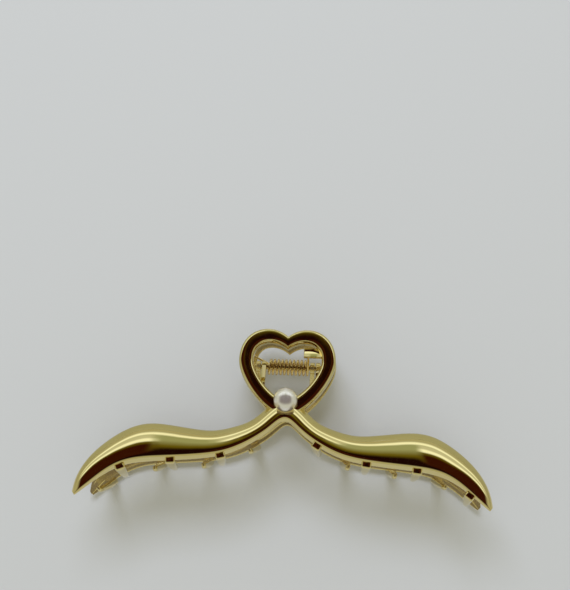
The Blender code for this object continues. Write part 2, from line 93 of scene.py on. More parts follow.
# %% Skinning and easing
CORNER_STEPS = 5
EASE_REACH = 0.45
SHARP_DEGREES = 38
WELD = 1e-4


def rounded(start, corner, end, steps):
    """Points of a curve from start to end that the corner between them draws outwards."""
    shares = [i / steps for i in range(steps + 1)]
    return [start.lerp(corner, t).lerp(corner.lerp(end, t), t) for t in shares]


def eased(corners):
    """Points of a closed outline of (x, y, radius) corners, with each corner that has a radius rounded."""
    points = []
    for i, (x, y, radius) in enumerate(corners):
        here = Vector((x, y))
        if radius <= 0:
            points.append(here)
            continue
        before = Vector(corners[i - 1][:2]) - here
        after = Vector(corners[(i + 1) % len(corners)][:2]) - here
        start = here + before.normalized() * min(radius, EASE_REACH * before.length)
        end = here + after.normalized() * min(radius, EASE_REACH * after.length)
        points += rounded(start, here, end, CORNER_STEPS)
    return points


def skin(bm, sections, closed=False):
    """Bridges loops of points one after another; an open skin gets a face at either end."""
    loops = []
    for section in sections:
        verts = [bm.verts.new(point) for point in section]
        loops.append([bm.edges.new((verts[i - 1], verts[i])) for i in range(len(verts))])
    pairs = list(zip(loops, loops[1:]))
    if closed:
        pairs.append((loops[-1], loops[0]))
    for first, second in pairs:
        bmesh.ops.bridge_loops(bm, edges=first + second)
    if not closed:
        for end in (loops[0], loops[-1]):
            bmesh.ops.edgeloop_fill(bm, edges=end)


def spun(bm, outline, axis, steps, closed=False):
    """Turns a chain or a closed loop of points once round an axis through the origin."""
    verts = [bm.verts.new(point) for point in outline]
    pairs = list(zip(verts, verts[1:]))
    if closed:
        pairs.append((verts[-1], verts[0]))
    edges = [bm.edges.new(pair) for pair in pairs]
    bmesh.ops.spin(
        bm, geom=verts + edges, cent=(0, 0, 0), axis=axis, angle=2 * math.pi, steps=steps, use_merge=True
    )


def finished(bm, name, place):
    """Makes the mesh an object in its place, facing outwards, smooth but for its sharp edges."""
    bmesh.ops.transform(bm, matrix=place, verts=bm.verts)
    bmesh.ops.recalc_face_normals(bm, faces=bm.faces)
    mesh = bpy.data.meshes.new(name)
    bm.to_mesh(mesh)
    bm.free()
    mesh.shade_smooth()
    mesh.set_sharp_from_angle(angle=math.radians(SHARP_DEGREES))
    obj = bpy.data.objects.new(name, mesh)
    bpy.context.scene.collection.objects.link(obj)
    print(f"{name}: {len(mesh.polygons)} faces")
    return obj


# %% [markdown]
# ## The horn arms
# Both arms of a jaw are one S-curved horn from tip to tip. Its section has a bulging face that falls away
# to a thin upper edge, a sloping underside that ends in a slim round rim, and a hollow back that saves
# metal. Stations along the horn give its lower edge, upper edge, depth and how far it is hollowed.
# Polished metal shows every kink in its reflections, so the stations are joined by a spline of continuous
# curvature, which a plain point-to-point curve doesn't have.

# %% Stations of the arm
HINGE_TO_BACK = 5.4
# lower x, lower y, upper x, upper y, depth, hollow
RIGHT_ARM = np.array([
    (0.0, -18.6, 0.0, -11.5, 4.6, 0.0),
    (5.0, -22.2, 8.4, -17.5, 4.8, 0.0),
    (10.5, -26.1, 13.6, -20.4, 5.0, 0.7),
    (17.5, -29.3, 19.5, -22.0, 5.3, 1.0),
    (25.5, -30.8, 25.5, -22.0, 5.6, 1.0),
    (34.0, -31.6, 33.5, -21.0, 5.9, 1.0),
    (43.0, -32.7, 43.0, -21.5, 6.0, 1.0),
    (50.0, -35.5, 52.3, -27.2, 5.0, 1.0),
    (55.2, -39.2, 57.7, -33.4, 3.5, 0.9),
    (58.6, -41.9, 60.1, -39.5, 2.1, 0.1),
    (59.6, -42.6, 60.4, -41.5, 1.2, 0.0),
])
left_arm = RIGHT_ARM[:0:-1] * (-1, 1, -1, 1, 1, 1)
stations = np.concatenate([left_arm, RIGHT_ARM])
middles = (stations[:, 0:2] + stations[:, 2:4]) / 2
knots = np.concatenate([[0.0], np.cumsum(np.linalg.norm(np.diff(middles, axis=0), axis=1))])
print(f"the horn is {knots[-1]:.1f} mm long over its curve")

# %% A spline of continuous curvature
def flowing(places, rows, where):
    """Rows of values at the points where, on a natural cubic spline through rows at places."""
    gaps = np.diff(places)
    system = np.eye(len(places))
    slopes = np.diff(rows, axis=0) / gaps[:, None]
    wanted = np.zeros_like(rows)
    for i in range(1, len(places) - 1):
        system[i, i - 1 : i + 2] = gaps[i - 1], 2 * (gaps[i - 1] + gaps[i]), gaps[i]
        wanted[i] = 6 * (slopes[i] - slopes[i - 1])
    bends = np.linalg.solve(system, wanted)
    k = np.clip(np.searchsorted(places, where, side="right") - 1, 0, len(gaps) - 1)
    gap = gaps[k][:, None]
    a = (places[k + 1] - where)[:, None] / gap
    b = 1 - a
    curve = ((a**3 - a) * bends[k] + (b**3 - b) * bends[k + 1]) * gap**2 / 6
    return a * rows[k] + b * rows[k + 1] + curve


ARM_LOOPS = 260
arm_rows = flowing(knots, stations, np.linspace(0.0, knots[-1], ARM_LOOPS))
print("arm loops:", len(arm_rows))

# %% One section of the arm
ARM_WALL = 1.6
ARM_DRAFT = math.radians(22)
UNDERSIDE_LIFT = 0.5
RIM_EASE, LOWER_RIM_EASE, EDGE_EASE = 0.4, 0.95, 0.3
EASE_SHARE, RIM_SHARE, LOWER_RIM_SHARE = 0.12, 0.3, 0.85
CROWN_AT, CROWN_POWER, CROWN_LOWER_DROP, CROWN_EDGE = 0.12, 2.0, 0.12, 0.07
FACE_STEPS, HOLLOW_STEPS = 30, 10


def crown(share):
    """Height over the flat back, as a share of the depth, from the lower edge (0) to the upper edge (1)."""
    if share < CROWN_AT:
        return 1 - CROWN_LOWER_DROP * ((CROWN_AT - share) / CROWN_AT) ** 2
    fall = ((share - CROWN_AT) / (1 - CROWN_AT)) ** CROWN_POWER
    return CROWN_EDGE + (1 - CROWN_EDGE) * max(0.0, 1 - fall) ** (1 / CROWN_POWER)


def arm_section(row):
    """The closed section at one row of the arm: face, upper edge, hollow back and lower rim."""
    lower, upper = Vector(row[0:2]), Vector(row[2:4])
    width = (upper - lower).length
    depth = row[4]
    hollow = min(1.0, max(0.0, row[5]))
    ease, rim_ease = min(EDGE_EASE, EASE_SHARE * width), min(RIM_EASE, EASE_SHARE * width)
    rim = min(RIM_SHARE, ARM_WALL / width)
    lift = UNDERSIDE_LIFT * depth
    outline = [((lift - depth * crown(0.0)) * math.tan(ARM_DRAFT) / width, lift, LOWER_RIM_EASE)]
    for i in range(FACE_STEPS + 1):
        share = 0.5 - 0.5 * math.cos(math.pi * i / FACE_STEPS)
        outline.append((share, depth * crown(share), ease if i == 0 else 0.0))
    outline.append((1.0, 0.0, ease / 2))
    outline.append((1.0 - rim, 0.0, rim_ease))
    for i in range(1, HOLLOW_STEPS + 1):
        share = 1 - rim - (1 - 2 * rim) * i / HOLLOW_STEPS
        outline.append((share, hollow * max(0.0, depth * crown(share) - ARM_WALL), 0.0))
    outline.append((LOWER_RIM_SHARE * rim, lift, LOWER_RIM_EASE))
    section = []
    for place in eased([(share * width, height, radius) for share, height, radius in outline]):
        across = lower.lerp(upper, place.x / width)
        section.append((across.x, across.y, HINGE_TO_BACK + place.y))
    return section


def add_arms(bm):
    skin(bm, [arm_section(row) for row in arm_rows])


print("points round the arm:", len(arm_section(arm_rows[0])))

# %% [markdown]
# ## The heart ring
# The finger ring is a heart drawn with two arcs a side, one round the lobe and one down the flank, once
# for its outer edge and once for its inner edge. The band between them has upright walls, round shoulders
# and a narrow flat land on top. It closes on itself, so the skin does too, and the notch stays a crisp
# crease.

# %% Heart outline
HEART_HALF_WIDTH, HEART_WIDEST_AT, HEART_NOTCH_AT, HEART_POINT_AT = 14.4, -0.5, 7.0, -17.8
RING_WIDTH, RING_NOTCH_WIDTH, RING_POINT_WIDTH, RING_DEPTH, RING_SETBACK = 4.3, 3.9, 5.2, 4.0, 0.2
NOTCH_PULL_ACROSS, NOTCH_PULL_UP, LOBE_PULL = 0.37, 0.33, 0.66
FLANK_PULL, POINT_PULL_ACROSS, POINT_PULL_UP = 0.33, 0.45, 0.045
LOBE_STEPS, FLANK_STEPS = 44, 44


def bezier(a, b, c, d, count):
    """Points of a cubic curve from a to d, without d itself."""
    steps = [i / count for i in range(count)]
    return [a * (1 - t) ** 3 + b * 3 * t * (1 - t) ** 2 + c * 3 * t * t * (1 - t) + d * t**3 for t in steps]


def heart_half(half_width, notch_at, point_at):
    """The right half of a heart, from its notch round the lobe to its point."""
    notch, side = Vector((0, notch_at)), Vector((half_width, HEART_WIDEST_AT))
    point = Vector((0, point_at))
    flank = HEART_WIDEST_AT - point_at
    near_notch = notch + half_width * Vector((NOTCH_PULL_ACROSS, NOTCH_PULL_UP))
    over_side = side + Vector((0, LOBE_PULL * half_width))
    under_side = side - Vector((0, FLANK_PULL * flank))
    near_point = point + Vector((POINT_PULL_ACROSS * half_width, POINT_PULL_UP * flank))
    lobe = bezier(notch, near_notch, over_side, side, LOBE_STEPS)
    return lobe + bezier(side, under_side, near_point, point, FLANK_STEPS) + [point]


heart_outer = heart_half(HEART_HALF_WIDTH, HEART_NOTCH_AT, HEART_POINT_AT)
heart_inner = heart_half(
    HEART_HALF_WIDTH - RING_WIDTH, HEART_NOTCH_AT - RING_NOTCH_WIDTH, HEART_POINT_AT + RING_POINT_WIDTH
)
print(f"the heart is {2 * HEART_HALF_WIDTH} mm wide")

# %% Ring section and skin
RING_LAND_SHARE, RING_WALL_SHARE, RING_SHOULDER_POWER, RING_BACK_EASE = 0.32, 0.45, 2.8, 0.2
SHOULDER_STEPS = 12


def ring_outline():
    """The band's section: (share of its width, share of its depth, corner radius in shares)."""
    shoulder = (1 - RING_LAND_SHARE) / 2
    rise = [(0.0, 0.0, RING_BACK_EASE)]
    for i in range(SHOULDER_STEPS + 1):
        angle = 0.5 * math.pi * i / SHOULDER_STEPS
        inward = math.sin(angle) ** (2 / RING_SHOULDER_POWER)
        outward = max(0.0, math.cos(angle)) ** (2 / RING_SHOULDER_POWER)
        height = RING_WALL_SHARE + (1 - RING_WALL_SHARE) * inward
        rise.append((shoulder * (1 - outward), height, 0.0))
    return eased(rise + [(1 - share, height, ease) for share, height, ease in reversed(rise)])


def add_ring(bm):
    right, left = [], []
    base = HINGE_TO_BACK + RING_SETBACK
    for near, far in zip(heart_inner, heart_outer):
        section = []
        for place in ring_outline():
            across = near.lerp(far, place.x)
            section.append((across.x, across.y, base + (RING_DEPTH - RING_SETBACK) * place.y))
        right.append(section)
        left.append([(-x, y, z) for x, y, z in section])
    skin(bm, right + left[-2:0:-1], closed=True)


print("points round the ring's band:", len(ring_outline()))

# %% [markdown]
# ## Teeth
# Each tooth is a flat finger cast under the arm's lower edge. It runs back towards the other jaw, a
# little past the middle of the clip, bends up slightly and ends round. The teeth of the right and left
# arms stand at different distances, so that those of the turned second jaw fall between them.

# %% Teeth under the arms
RIGHT_TEETH, LEFT_TEETH = (9.8, 24.0, 38.5, 54.0), (18.3, 32.5, 47.0)
TOOTH_ROOT_WIDTH, TOOTH_TIP_WIDTH, TOOTH_THICKNESS = 3.0, 1.5, 1.8
TOOTH_SINK, TOOTH_FRONT_SETBACK, TOOTH_PAST_MIDDLE, TOOTH_HOOK = 0.5, 0.35, 3.0, 1.6
TOOTH_LOOPS, TOOTH_TIP_SHARE, TOOTH_EASE, TOOTH_NOSE_SHARE = 28, 0.12, 0.7, 0.05
TOOTH_TIP_LEAST, TOOTH_NOSE_LEAST, TOOTH_THINNING, TOOTH_ROOT_EASE, SLOPE_SPAN = 0.2, 0.6, 0.4, 0.1, 0.5
JAW_LEAN = math.radians(12)


def tooth_sections(x):
    """The loops of one tooth, from its nose under the arm's face to its tip."""
    rows = arm_rows[arm_rows[:, 0].argsort()]
    height, depth = (float(np.interp(x, rows[:, 0], rows[:, column])) for column in (1, 4))
    before, after = np.interp((x - SLOPE_SPAN, x + SLOPE_SPAN), rows[:, 0], rows[:, 1])
    slope = math.atan(float(after - before) / (2 * SLOPE_SPAN))
    along = Vector((math.cos(slope), math.sin(slope), 0))
    down = Vector((math.sin(slope), -math.cos(slope), 0))
    front = HINGE_TO_BACK + depth * crown(0.0) - TOOTH_FRONT_SETBACK
    back = (height * math.sin(JAW_LEAN) - TOOTH_PAST_MIDDLE) / math.cos(JAW_LEAN)
    for i in range(TOOTH_LOOPS + 1):
        share = 0.5 - 0.5 * math.cos(math.pi * i / TOOTH_LOOPS)
        past = max(0.0, share - 1 + TOOTH_TIP_SHARE) / TOOTH_TIP_SHARE
        nose = max(0.0, TOOTH_NOSE_SHARE - share) / TOOTH_NOSE_SHARE
        narrow = TOOTH_TIP_LEAST + (1 - TOOTH_TIP_LEAST) * math.sqrt(max(0.0, 1 - past * past))
        narrow *= TOOTH_NOSE_LEAST + (1 - TOOTH_NOSE_LEAST) * math.sqrt(max(0.0, 1 - nose * nose))
        half = (TOOTH_ROOT_WIDTH + (TOOTH_TIP_WIDTH - TOOTH_ROOT_WIDTH) * share) * narrow / 2
        thick = TOOTH_THICKNESS * (1 - TOOTH_THINNING * share) * narrow
        ease = TOOTH_EASE * narrow
        corners = [
            (-half, -TOOTH_SINK, TOOTH_ROOT_EASE), (-half, thick, ease),
            (half, thick, ease), (half, -TOOTH_SINK, TOOTH_ROOT_EASE),
        ]
        centre = Vector((x, height, front + (back - front) * share)) - down * (TOOTH_HOOK * share * share)
        yield [centre + along * place.x + down * place.y for place in eased(corners)]


def add_teeth(bm):
    for x in [*RIGHT_TEETH, *(-x for x in LEFT_TEETH)]:
        skin(bm, list(tooth_sections(x)))


print("teeth on each jaw:", len(RIGHT_TEETH) + len(LEFT_TEETH))

# %% [markdown]
# ## Hinge lugs and the spring stop
# A lug is an ear with a round eye for the pin. The eye is a rectangle spun about the hinge axis, which
# leaves the bore open, and the foot is the hull of a few points between the eye and the ring's inner
# flank. The stop tab is a small bevelled wedge inside the front heart.

# %% Lugs
PIN_RADIUS, PIN_CLEARANCE = 0.8, 0.15
LUG_THICKNESS, LUG_EYE_RADIUS, LUG_SIDE_GAP, SPRING_SPACE = 1.4, 1.7, 0.3, 13.2
LUG_ROOT_LENGTH, LUG_ROOT_SINK, LUG_EASE = 3.4, 1.2, 0.15
BORE_EASE, EYE_EASE, FOOT_CLEARANCE, FOOT_INSET = 0.08, 0.2, 1.06, 0.02
EYE_STEPS, BEVEL_FROM = 48, 0.5


def softened(bm, faces, offset):
    """Bevels the edges of the given faces that turn by more than BEVEL_FROM, in radians."""
    edges = {edge for face in faces for edge in face.edges if edge.calc_face_angle(0.0) > BEVEL_FROM}
    bmesh.ops.bevel(
        bm, geom=list(edges), offset=offset, segments=3, profile=0.5, affect="EDGES", material=-1
    )


def add_lug(bm, x_low):
    middle = abs(x_low + LUG_THICKNESS / 2)
    flank = heart_inner[LOBE_STEPS:]
    root_top = min(flank, key=lambda point: abs(point.x - middle)).y + LUG_ROOT_SINK / 2
    root_z = HINGE_TO_BACK + RING_SETBACK + LUG_ROOT_SINK
    bore, x_high = PIN_RADIUS + PIN_CLEARANCE, x_low + LUG_THICKNESS
    corners = (
        (x_low, bore, BORE_EASE), (x_high, bore, BORE_EASE),
        (x_high, LUG_EYE_RADIUS, EYE_EASE), (x_low, LUG_EYE_RADIUS, EYE_EASE),
    )
    spun(bm, [(place.x, place.y, 0) for place in eased(corners)], (1, 0, 0), EYE_STEPS, closed=True)
    foot = [(root_top, root_z), (root_top - LUG_ROOT_LENGTH, root_z)]
    toward = Vector(((foot[0][0] + foot[1][0]) / 2, root_z)).normalized()
    side = Vector((-toward.y, toward.x))
    clear = FOOT_CLEARANCE * bore
    half = math.sqrt(LUG_EYE_RADIUS**2 - clear**2)
    foot += [tuple(toward * clear + side * sign * half) for sign in (1, -1)]
    sides = (x_low + FOOT_INSET, x_high - FOOT_INSET)
    points = [bm.verts.new((x, y, z)) for x in sides for y, z in foot]
    hull = bmesh.ops.convex_hull(bm, input=points)
    softened(bm, [item for item in hull["geom"] if isinstance(item, bmesh.types.BMFace)], LUG_EASE)


def lug_places():
    inner_face = SPRING_SPACE / 2 - END_FLOAT / 2
    return -inner_face - LUG_THICKNESS, inner_face + LUG_THICKNESS + LUG_SIDE_GAP + END_FLOAT


print("lugs start at", [round(x, 2) for x in lug_places()], "mm")

# %% Stop tab of the front jaw
TAB_BOTTOM, TAB_TOP, TAB_INNER_END, TAB_OUTER_END = 0.9, 4.0, 4.8, 10.7
TAB_BACK, TAB_THICKNESS, TAB_TAPER, TAB_EASE = 1.2, 1.8, 1.2, 0.2


def add_tab(bm):
    size = Vector((TAB_OUTER_END - TAB_INNER_END, TAB_TOP - TAB_BOTTOM, TAB_THICKNESS))
    low = Vector((TAB_INNER_END, TAB_BOTTOM, HINGE_TO_BACK + TAB_BACK))
    middle = low + size / 2
    shape = Matrix.Translation(middle) @ Matrix.Diagonal((*size, 1))
    made = bmesh.ops.create_cube(bm, size=1.0, matrix=shape)
    top_front = [vert for vert in made["verts"] if vert.co.y > middle.y and vert.co.z > middle.z]
    bmesh.ops.translate(bm, vec=(0, 0, -TAB_TAPER), verts=top_front)
    softened(bm, {face for vert in made["verts"] for face in vert.link_faces}, TAB_EASE)


print(f"the tab is {TAB_OUTER_END - TAB_INNER_END:.1f} mm long")

# %% [markdown]
# ## Polished face, satin back
# A polishing wheel reaches the face and the flanks of a casting, but not its hollow back, which keeps the
# satin skin of the mould under the plating. Each point of a jaw carries that as a number, as_cast, from
# the way it faces.

# %% Make both jaws
POLISH_ENDS, SATIN_FROM = 0.45, 0.725


def make_jaw(name, place, has_tab):
    bm = bmesh.new()
    add_arms(bm)
    add_ring(bm)
    add_teeth(bm)
    for x_low in lug_places():
        add_lug(bm, x_low)
    if has_tab:
        add_tab(bm)
    bmesh.ops.recalc_face_normals(bm, faces=bm.faces)
    bm.normal_update()
    as_cast = bm.verts.layers.float.new("as_cast")
    for vert in bm.verts:
        share = (-vert.normal.z - POLISH_ENDS) / (SATIN_FROM - POLISH_ENDS)
        vert[as_cast] = min(1.0, max(0.0, share))
    return finished(bm, name, place)


front_casting = make_jaw("front_casting", front_place, True)
back_casting = make_jaw("back_casting", back_place, False)

# %% [markdown]
# ## Pearls
# The imitation pearls are half-drilled beads. A half outline of the bead, with its blind hole, is spun
# about the drilled axis, which is also how the eye reads a bead: perfectly round, with the hole hidden
# against the metal.

# %% Spin the pearls
PEARL_RADIUS, PEARL_AT, PEARL_HEIGHT = 3.5, -13.5, 6.0
HOLE_RADIUS, HOLE_DEPTH = 0.7, 2.65
PEARL_STEPS, PEARL_ARC = 64, 40


def make_pearl(name, place):
    bm = bmesh.new()
    start = math.asin(HOLE_RADIUS / PEARL_RADIUS)
    arc = [start + (math.pi - start) * i / PEARL_ARC for i in range(PEARL_ARC + 1)]
    outline = [(0, HOLE_DEPTH - PEARL_RADIUS), (HOLE_RADIUS, HOLE_DEPTH - PEARL_RADIUS)]
    outline += [(PEARL_RADIUS * math.sin(a), -PEARL_RADIUS * math.cos(a)) for a in arc]
    spun(bm, [(x, 0, z) for x, z in outline], (0, 0, 1), PEARL_STEPS)
    bmesh.ops.remove_doubles(bm, verts=bm.verts, dist=WELD)
    return finished(bm, name, place @ Matrix.Translation((0, PEARL_AT, HINGE_TO_BACK + PEARL_HEIGHT)))


front_bead = make_pearl("front_bead", front_place)
back_bead = make_pearl("back_bead", back_place)

# %% [markdown]
# ## Hinge pin
# A plain pin cut from wire and tumbled, so its ends are slightly rounded. Half its outline is spun about
# the hinge axis.

# %% Spin the pin
PIN_REACH, PIN_END = 10.3, 0.35
hinge_place = Matrix.Translation(hinge) @ Matrix.Scale(MM, 4)


def make_pin():
    bm = bmesh.new()
    ends = [(PIN_REACH, 0.0), (PIN_REACH, PIN_RADIUS - PIN_END)]
    ends += [
        (PIN_REACH - PIN_END * (1 - math.cos(a)), PIN_RADIUS - PIN_END * (1 - math.sin(a)))
        for a in (math.radians(d) for d in (30, 60, 90))
    ]
    outline = ends + [(-x, r) for x, r in reversed(ends)]
    spun(bm, [(x, 0, r) for x, r in outline], (1, 0, 0), EYE_STEPS)
    bmesh.ops.remove_doubles(bm, verts=bm.verts, dist=WELD)
    return finished(bm, "plated_pin", hinge_place)


plated_pin = make_pin()

# %% [markdown]
# ## Torsion spring
# One wire: a leg on the back ring, ten and a bit curls, and a leg behind the front jaw's tab. The
# straight legs leave the coil along its tangent. The wire is a curve with a round bevel, made a mesh.

# %% The wire's path
WIRE_RADIUS, COIL_RADIUS, WHOLE_TURNS, COIL_SIDE_GAP, LEG_GAP = 0.34, 2.15, 10, 0.3, 0.3
LEG_RISE, BACK_LEG_STRAIGHT, BACK_LEG_X, CURL_POINTS = 2.8, 2.4, -11.2, 28
BEND_BEFORE, BEND_ONWARDS, BEND_STEPS, WIRE_WELD = 0.7, 0.25, 6, 1e-3
coil_reach = SPRING_SPACE / 2 - COIL_SIDE_GAP - WIRE_RADIUS
to_hinge = hinge_place.inverted()


def leg_end(place, z, x):
    """A leg's end, which lies on a jaw at its own height z, in millimetres from the hinge."""
    end = to_hinge @ place @ Vector((0, LEG_RISE, z))
    end.x = x
    return end


def leaving(end, direction):
    """The angle at which a straight leg to that end leaves the coil."""
    away = math.acos(COIL_RADIUS / math.hypot(end.y, end.z))
    return math.atan2(end.y, end.z) - direction * away


off = WIRE_RADIUS + LEG_GAP
front_end = leg_end(front_place, HINGE_TO_BACK + TAB_BACK - off, coil_reach)
back_end = leg_end(back_place, HINGE_TO_BACK + RING_SETBACK - off, BACK_LEG_X)
first = leaving(back_end, -1) - 2 * math.pi
last = leaving(front_end, 1) + 2 * math.pi * WHOLE_TURNS
coil_count = round((last - first) / (2 * math.pi) * CURL_POINTS)
coil = []
for i in range(coil_count + 1):
    angle = first + (last - first) * i / coil_count
    x = coil_reach * (2 * i / coil_count - 1)
    coil.append(Vector((x, COIL_RADIUS * math.sin(angle), COIL_RADIUS * math.cos(angle))))
rise = Vector((0, back_end.y - coil[0].y, back_end.z - coil[0].z)).normalized()
bend = coil[0] + rise * BACK_LEG_STRAIGHT
turn_in, turn_out = bend - rise * BEND_BEFORE, bend.lerp(back_end, BEND_ONWARDS)
bend_points = rounded(turn_in, bend, turn_out, BEND_STEPS)
wire_path = [back_end, *reversed(bend_points), *coil, front_end]
print(f"spring wire: {len(coil)} points round {(last - first) / (2 * math.pi):.2f} curls")

# %% The wire
def make_spring():
    curve = bpy.data.curves.new("spring_wire", "CURVE")
    curve.dimensions = "3D"
    curve.bevel_depth = WIRE_RADIUS
    curve.bevel_resolution = 4
    curve.use_fill_caps = True
    spline = curve.splines.new("POLY")
    spline.points.add(len(wire_path) - 1)
    for point, place in zip(spline.points, wire_path):
        point.co = (*place, 1)
    wire = bpy.data.objects.new("spring_path", curve)
    bpy.context.scene.collection.objects.link(wire)
    bpy.context.view_layer.update()
    graph = bpy.context.evaluated_depsgraph_get()
    bm = bmesh.new()
    bm.from_mesh(bpy.data.meshes.new_from_object(wire.evaluated_get(graph)))
    bpy.data.objects.remove(wire, do_unlink=True)
    bmesh.ops.remove_doubles(bm, verts=bm.verts, dist=WIRE_WELD)
    return finished(bm, "spring_wire", hinge_place)


spring_wire = make_spring()

# %% [markdown]
# ## Finishes
# Colours are written as they are seen, in sRGB, and turned to the linear values that the renderer mixes.
# One helper adds a node with its settings and links, so each finish below reads as a short recipe.

# %% Colour and node helpers
def linear(code):
    """Linear RGBA from an sRGB hex code."""
    shares = [int(code[i : i + 2], 16) / 255 for i in (1, 3, 5)]
    return [s / 12.92 if s <= 0.04045 else ((s + 0.055) / 1.055) ** 2.4 for s in shares] + [1.0]


def add(tree, kind, settings, inputs):
    """Adds a node, sets its properties, and links or sets its inputs."""
    made = tree.nodes.new(kind)
    for name, value in settings.items():
        setattr(made, name, value)
    for name, value in inputs.items():
        if isinstance(value, bpy.types.NodeSocket):
            tree.links.new(value, made.inputs[name])
        else:
            made.inputs[name].default_value = value
    return made


def new_finish(name):
    """An empty material with a Principled shader on its output, and its object coordinates."""
    material = bpy.data.materials.new(name)
    material.use_nodes = True
    tree = material.node_tree
    coordinates = add(tree, "ShaderNodeTexCoord", {}, {})
    return material, tree, tree.nodes["Principled BSDF"], coordinates.outputs["Object"]


# %% [markdown]
# ### Gold-plated zinc
# The jaws are zinc castings, tumbled, polished and plated with a thin pale gold. Plating keeps the
# casting's long soft waviness, a few millimetres from crest to crest, and the polish leaves a faint
# uneven haze, so the mirror is never perfect. A metal's colour is the colour of its reflections, so it is
# set once and only drifts a little where the plating is thinner. Where as_cast says that the wheel didn't
# reach, the skin is satin.

# %% Gold plating
def gold_plating():
    material, tree, shader, place = new_finish("gold_plated_zinc")
    drift = add(tree, "ShaderNodeTexNoise", {}, {"Vector": place, "Scale": 1 / 0.014, "Detail": 2.0})
    tint = add(
        tree, "ShaderNodeMix", {"data_type": "RGBA"},
        {"Factor": drift.outputs["Fac"], "A": linear("#EBDCA0"), "B": linear("#E2CF8C")},
    )
    haze = add(tree, "ShaderNodeTexNoise", {}, {"Vector": place, "Scale": 1 / 0.0025, "Detail": 4.0})
    gloss = add(
        tree, "ShaderNodeMapRange", {},
        {"Value": haze.outputs["Fac"], "From Min": 0.3, "From Max": 0.7, "To Min": 0.025, "To Max": 0.06},
    )
    as_cast = add(tree, "ShaderNodeAttribute", {"attribute_name": "as_cast"}, {}).outputs["Fac"]
    satin = add(
        tree, "ShaderNodeMix", {"data_type": "FLOAT"},
        {"Factor": as_cast, "A": gloss.outputs["Result"], "B": 0.24},
    )
    metal = add(tree, "ShaderNodeMix", {"data_type": "FLOAT"}, {"Factor": as_cast, "A": 1.0, "B": 0.8})
    wave = add(tree, "ShaderNodeTexNoise", {}, {"Vector": place, "Scale": 1 / 0.005, "Detail": 1.0})
    relief = add(
        tree, "ShaderNodeBump", {}, {"Height": wave.outputs["Fac"], "Strength": 0.25, "Distance": 0.00012}
    )
    tree.links.new(tint.outputs["Result"], shader.inputs["Base Color"])
    tree.links.new(satin.outputs["Result"], shader.inputs["Roughness"])
    tree.links.new(metal.outputs["Result"], shader.inputs["Metallic"])
    tree.links.new(relief.outputs["Normal"], shader.inputs["Normal"])
    return material


gold = gold_plating()
print("finish of the jaws:", gold.name)

# %% [markdown]
# ### Brassed spring wire and pin stock
# The spring is drawn steel wire with a brass flash. Drawing leaves fine lines along the wire under a bright
# gloss, and the colour is warmer than the castings. The pin is like stock with a thin pale gold plating, a
# little duller. The lines are far too fine to see at this size, so a grain of a third of a millimetre
# stands for them.

# %% Wire finishes
def drawn_wire(name, light, dark, rough_low, rough_high):
    material, tree, shader, place = new_finish(name)
    grain = add(tree, "ShaderNodeTexNoise", {}, {"Vector": place, "Scale": 1 / 0.00035, "Detail": 3.0})
    tint = add(
        tree, "ShaderNodeMix", {"data_type": "RGBA"},
        {"Factor": grain.outputs["Fac"], "A": linear(light), "B": linear(dark)},
    )
    gloss = add(
        tree, "ShaderNodeMapRange", {},
        {"Value": grain.outputs["Fac"], "To Min": rough_low, "To Max": rough_high},
    )
    tree.links.new(tint.outputs["Result"], shader.inputs["Base Color"])
    tree.links.new(gloss.outputs["Result"], shader.inputs["Roughness"])
    shader.inputs["Metallic"].default_value = 1.0
    return material


wire_brass = drawn_wire("brassed_spring_wire", "#FFEBB4", "#E6C67C", 0.08, 0.16)
pin_plate = drawn_wire("plated_pin_steel", "#E6D294", "#C9B070", 0.14, 0.26)
print("finishes of the wire and the pin:", wire_brass.name, pin_plate.name)

# %% [markdown]
# ### Pearl lacquer
# The pearls are acrylic beads under many coats of pearl essence. The eye sees a white, slightly creamy
# ball with a soft deep gloss and a clear glint, and a faint cloudiness a millimetre or two across in the
# coats.

# %% Pearl lacquer
def pearl_lacquer():
    material, tree, shader, place = new_finish("pearl_lacquer_on_acrylic")
    cloud = add(tree, "ShaderNodeTexNoise", {}, {"Vector": place, "Scale": 1 / 0.0018, "Detail": 3.0})
    tint = add(
        tree, "ShaderNodeMix", {"data_type": "RGBA"},
        {"Factor": cloud.outputs["Fac"], "A": linear("#FFFCF4"), "B": linear("#F4EFE4")},
    )
    tree.links.new(tint.outputs["Result"], shader.inputs["Base Color"])
    shader.inputs["Metallic"].default_value = 0.82
    shader.inputs["Roughness"].default_value = 0.31
    shader.inputs["Coat Weight"].default_value = 0.8
    shader.inputs["Coat Roughness"].default_value = 0.06
    return material


nacre = pearl_lacquer()
print("finish of the pearls:", nacre.name)

# %% Dress the pieces
for piece, finish, node, body, slot in (
    (front_casting, gold, "front_jaw", "front", "gold_plated_zinc"),
    (back_casting, gold, "back_jaw", "back", "gold_plated_zinc"),
    (front_bead, nacre, "front_pearl", "front", "pearl_lacquer"),
    (back_bead, nacre, "back_pearl", "back", "pearl_lacquer"),
    (plated_pin, pin_plate, "hinge_pin", "back", "plated_pin_steel"),
    (spring_wire, wire_brass, "torsion_spring", None, "brassed_spring_wire"),
):
    piece.data.materials.append(finish)
    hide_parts(node)
    if body:
        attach(piece, body)
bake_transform(spring_wire)

# %% [markdown]
# ## Camera
# The photograph looks almost straight down, from a little in front of the arms. The camera's place and
# axes were fitted to it by the clip's tips, edges, heart and pearl. The place is in millimetres from the
# hinge, along the clip's own axes.

# %% Camera
CAMERA_AT = Vector((6.9, -37.9, 373.4))
CAMERA_RIGHT = Vector((0.99907, 0.03948, -0.01716))
CAMERA_UP = Vector((-0.03624, 0.98652, 0.15959))
FOCAL_PIXELS, FRAME_HEIGHT = 1237.0, 590.0

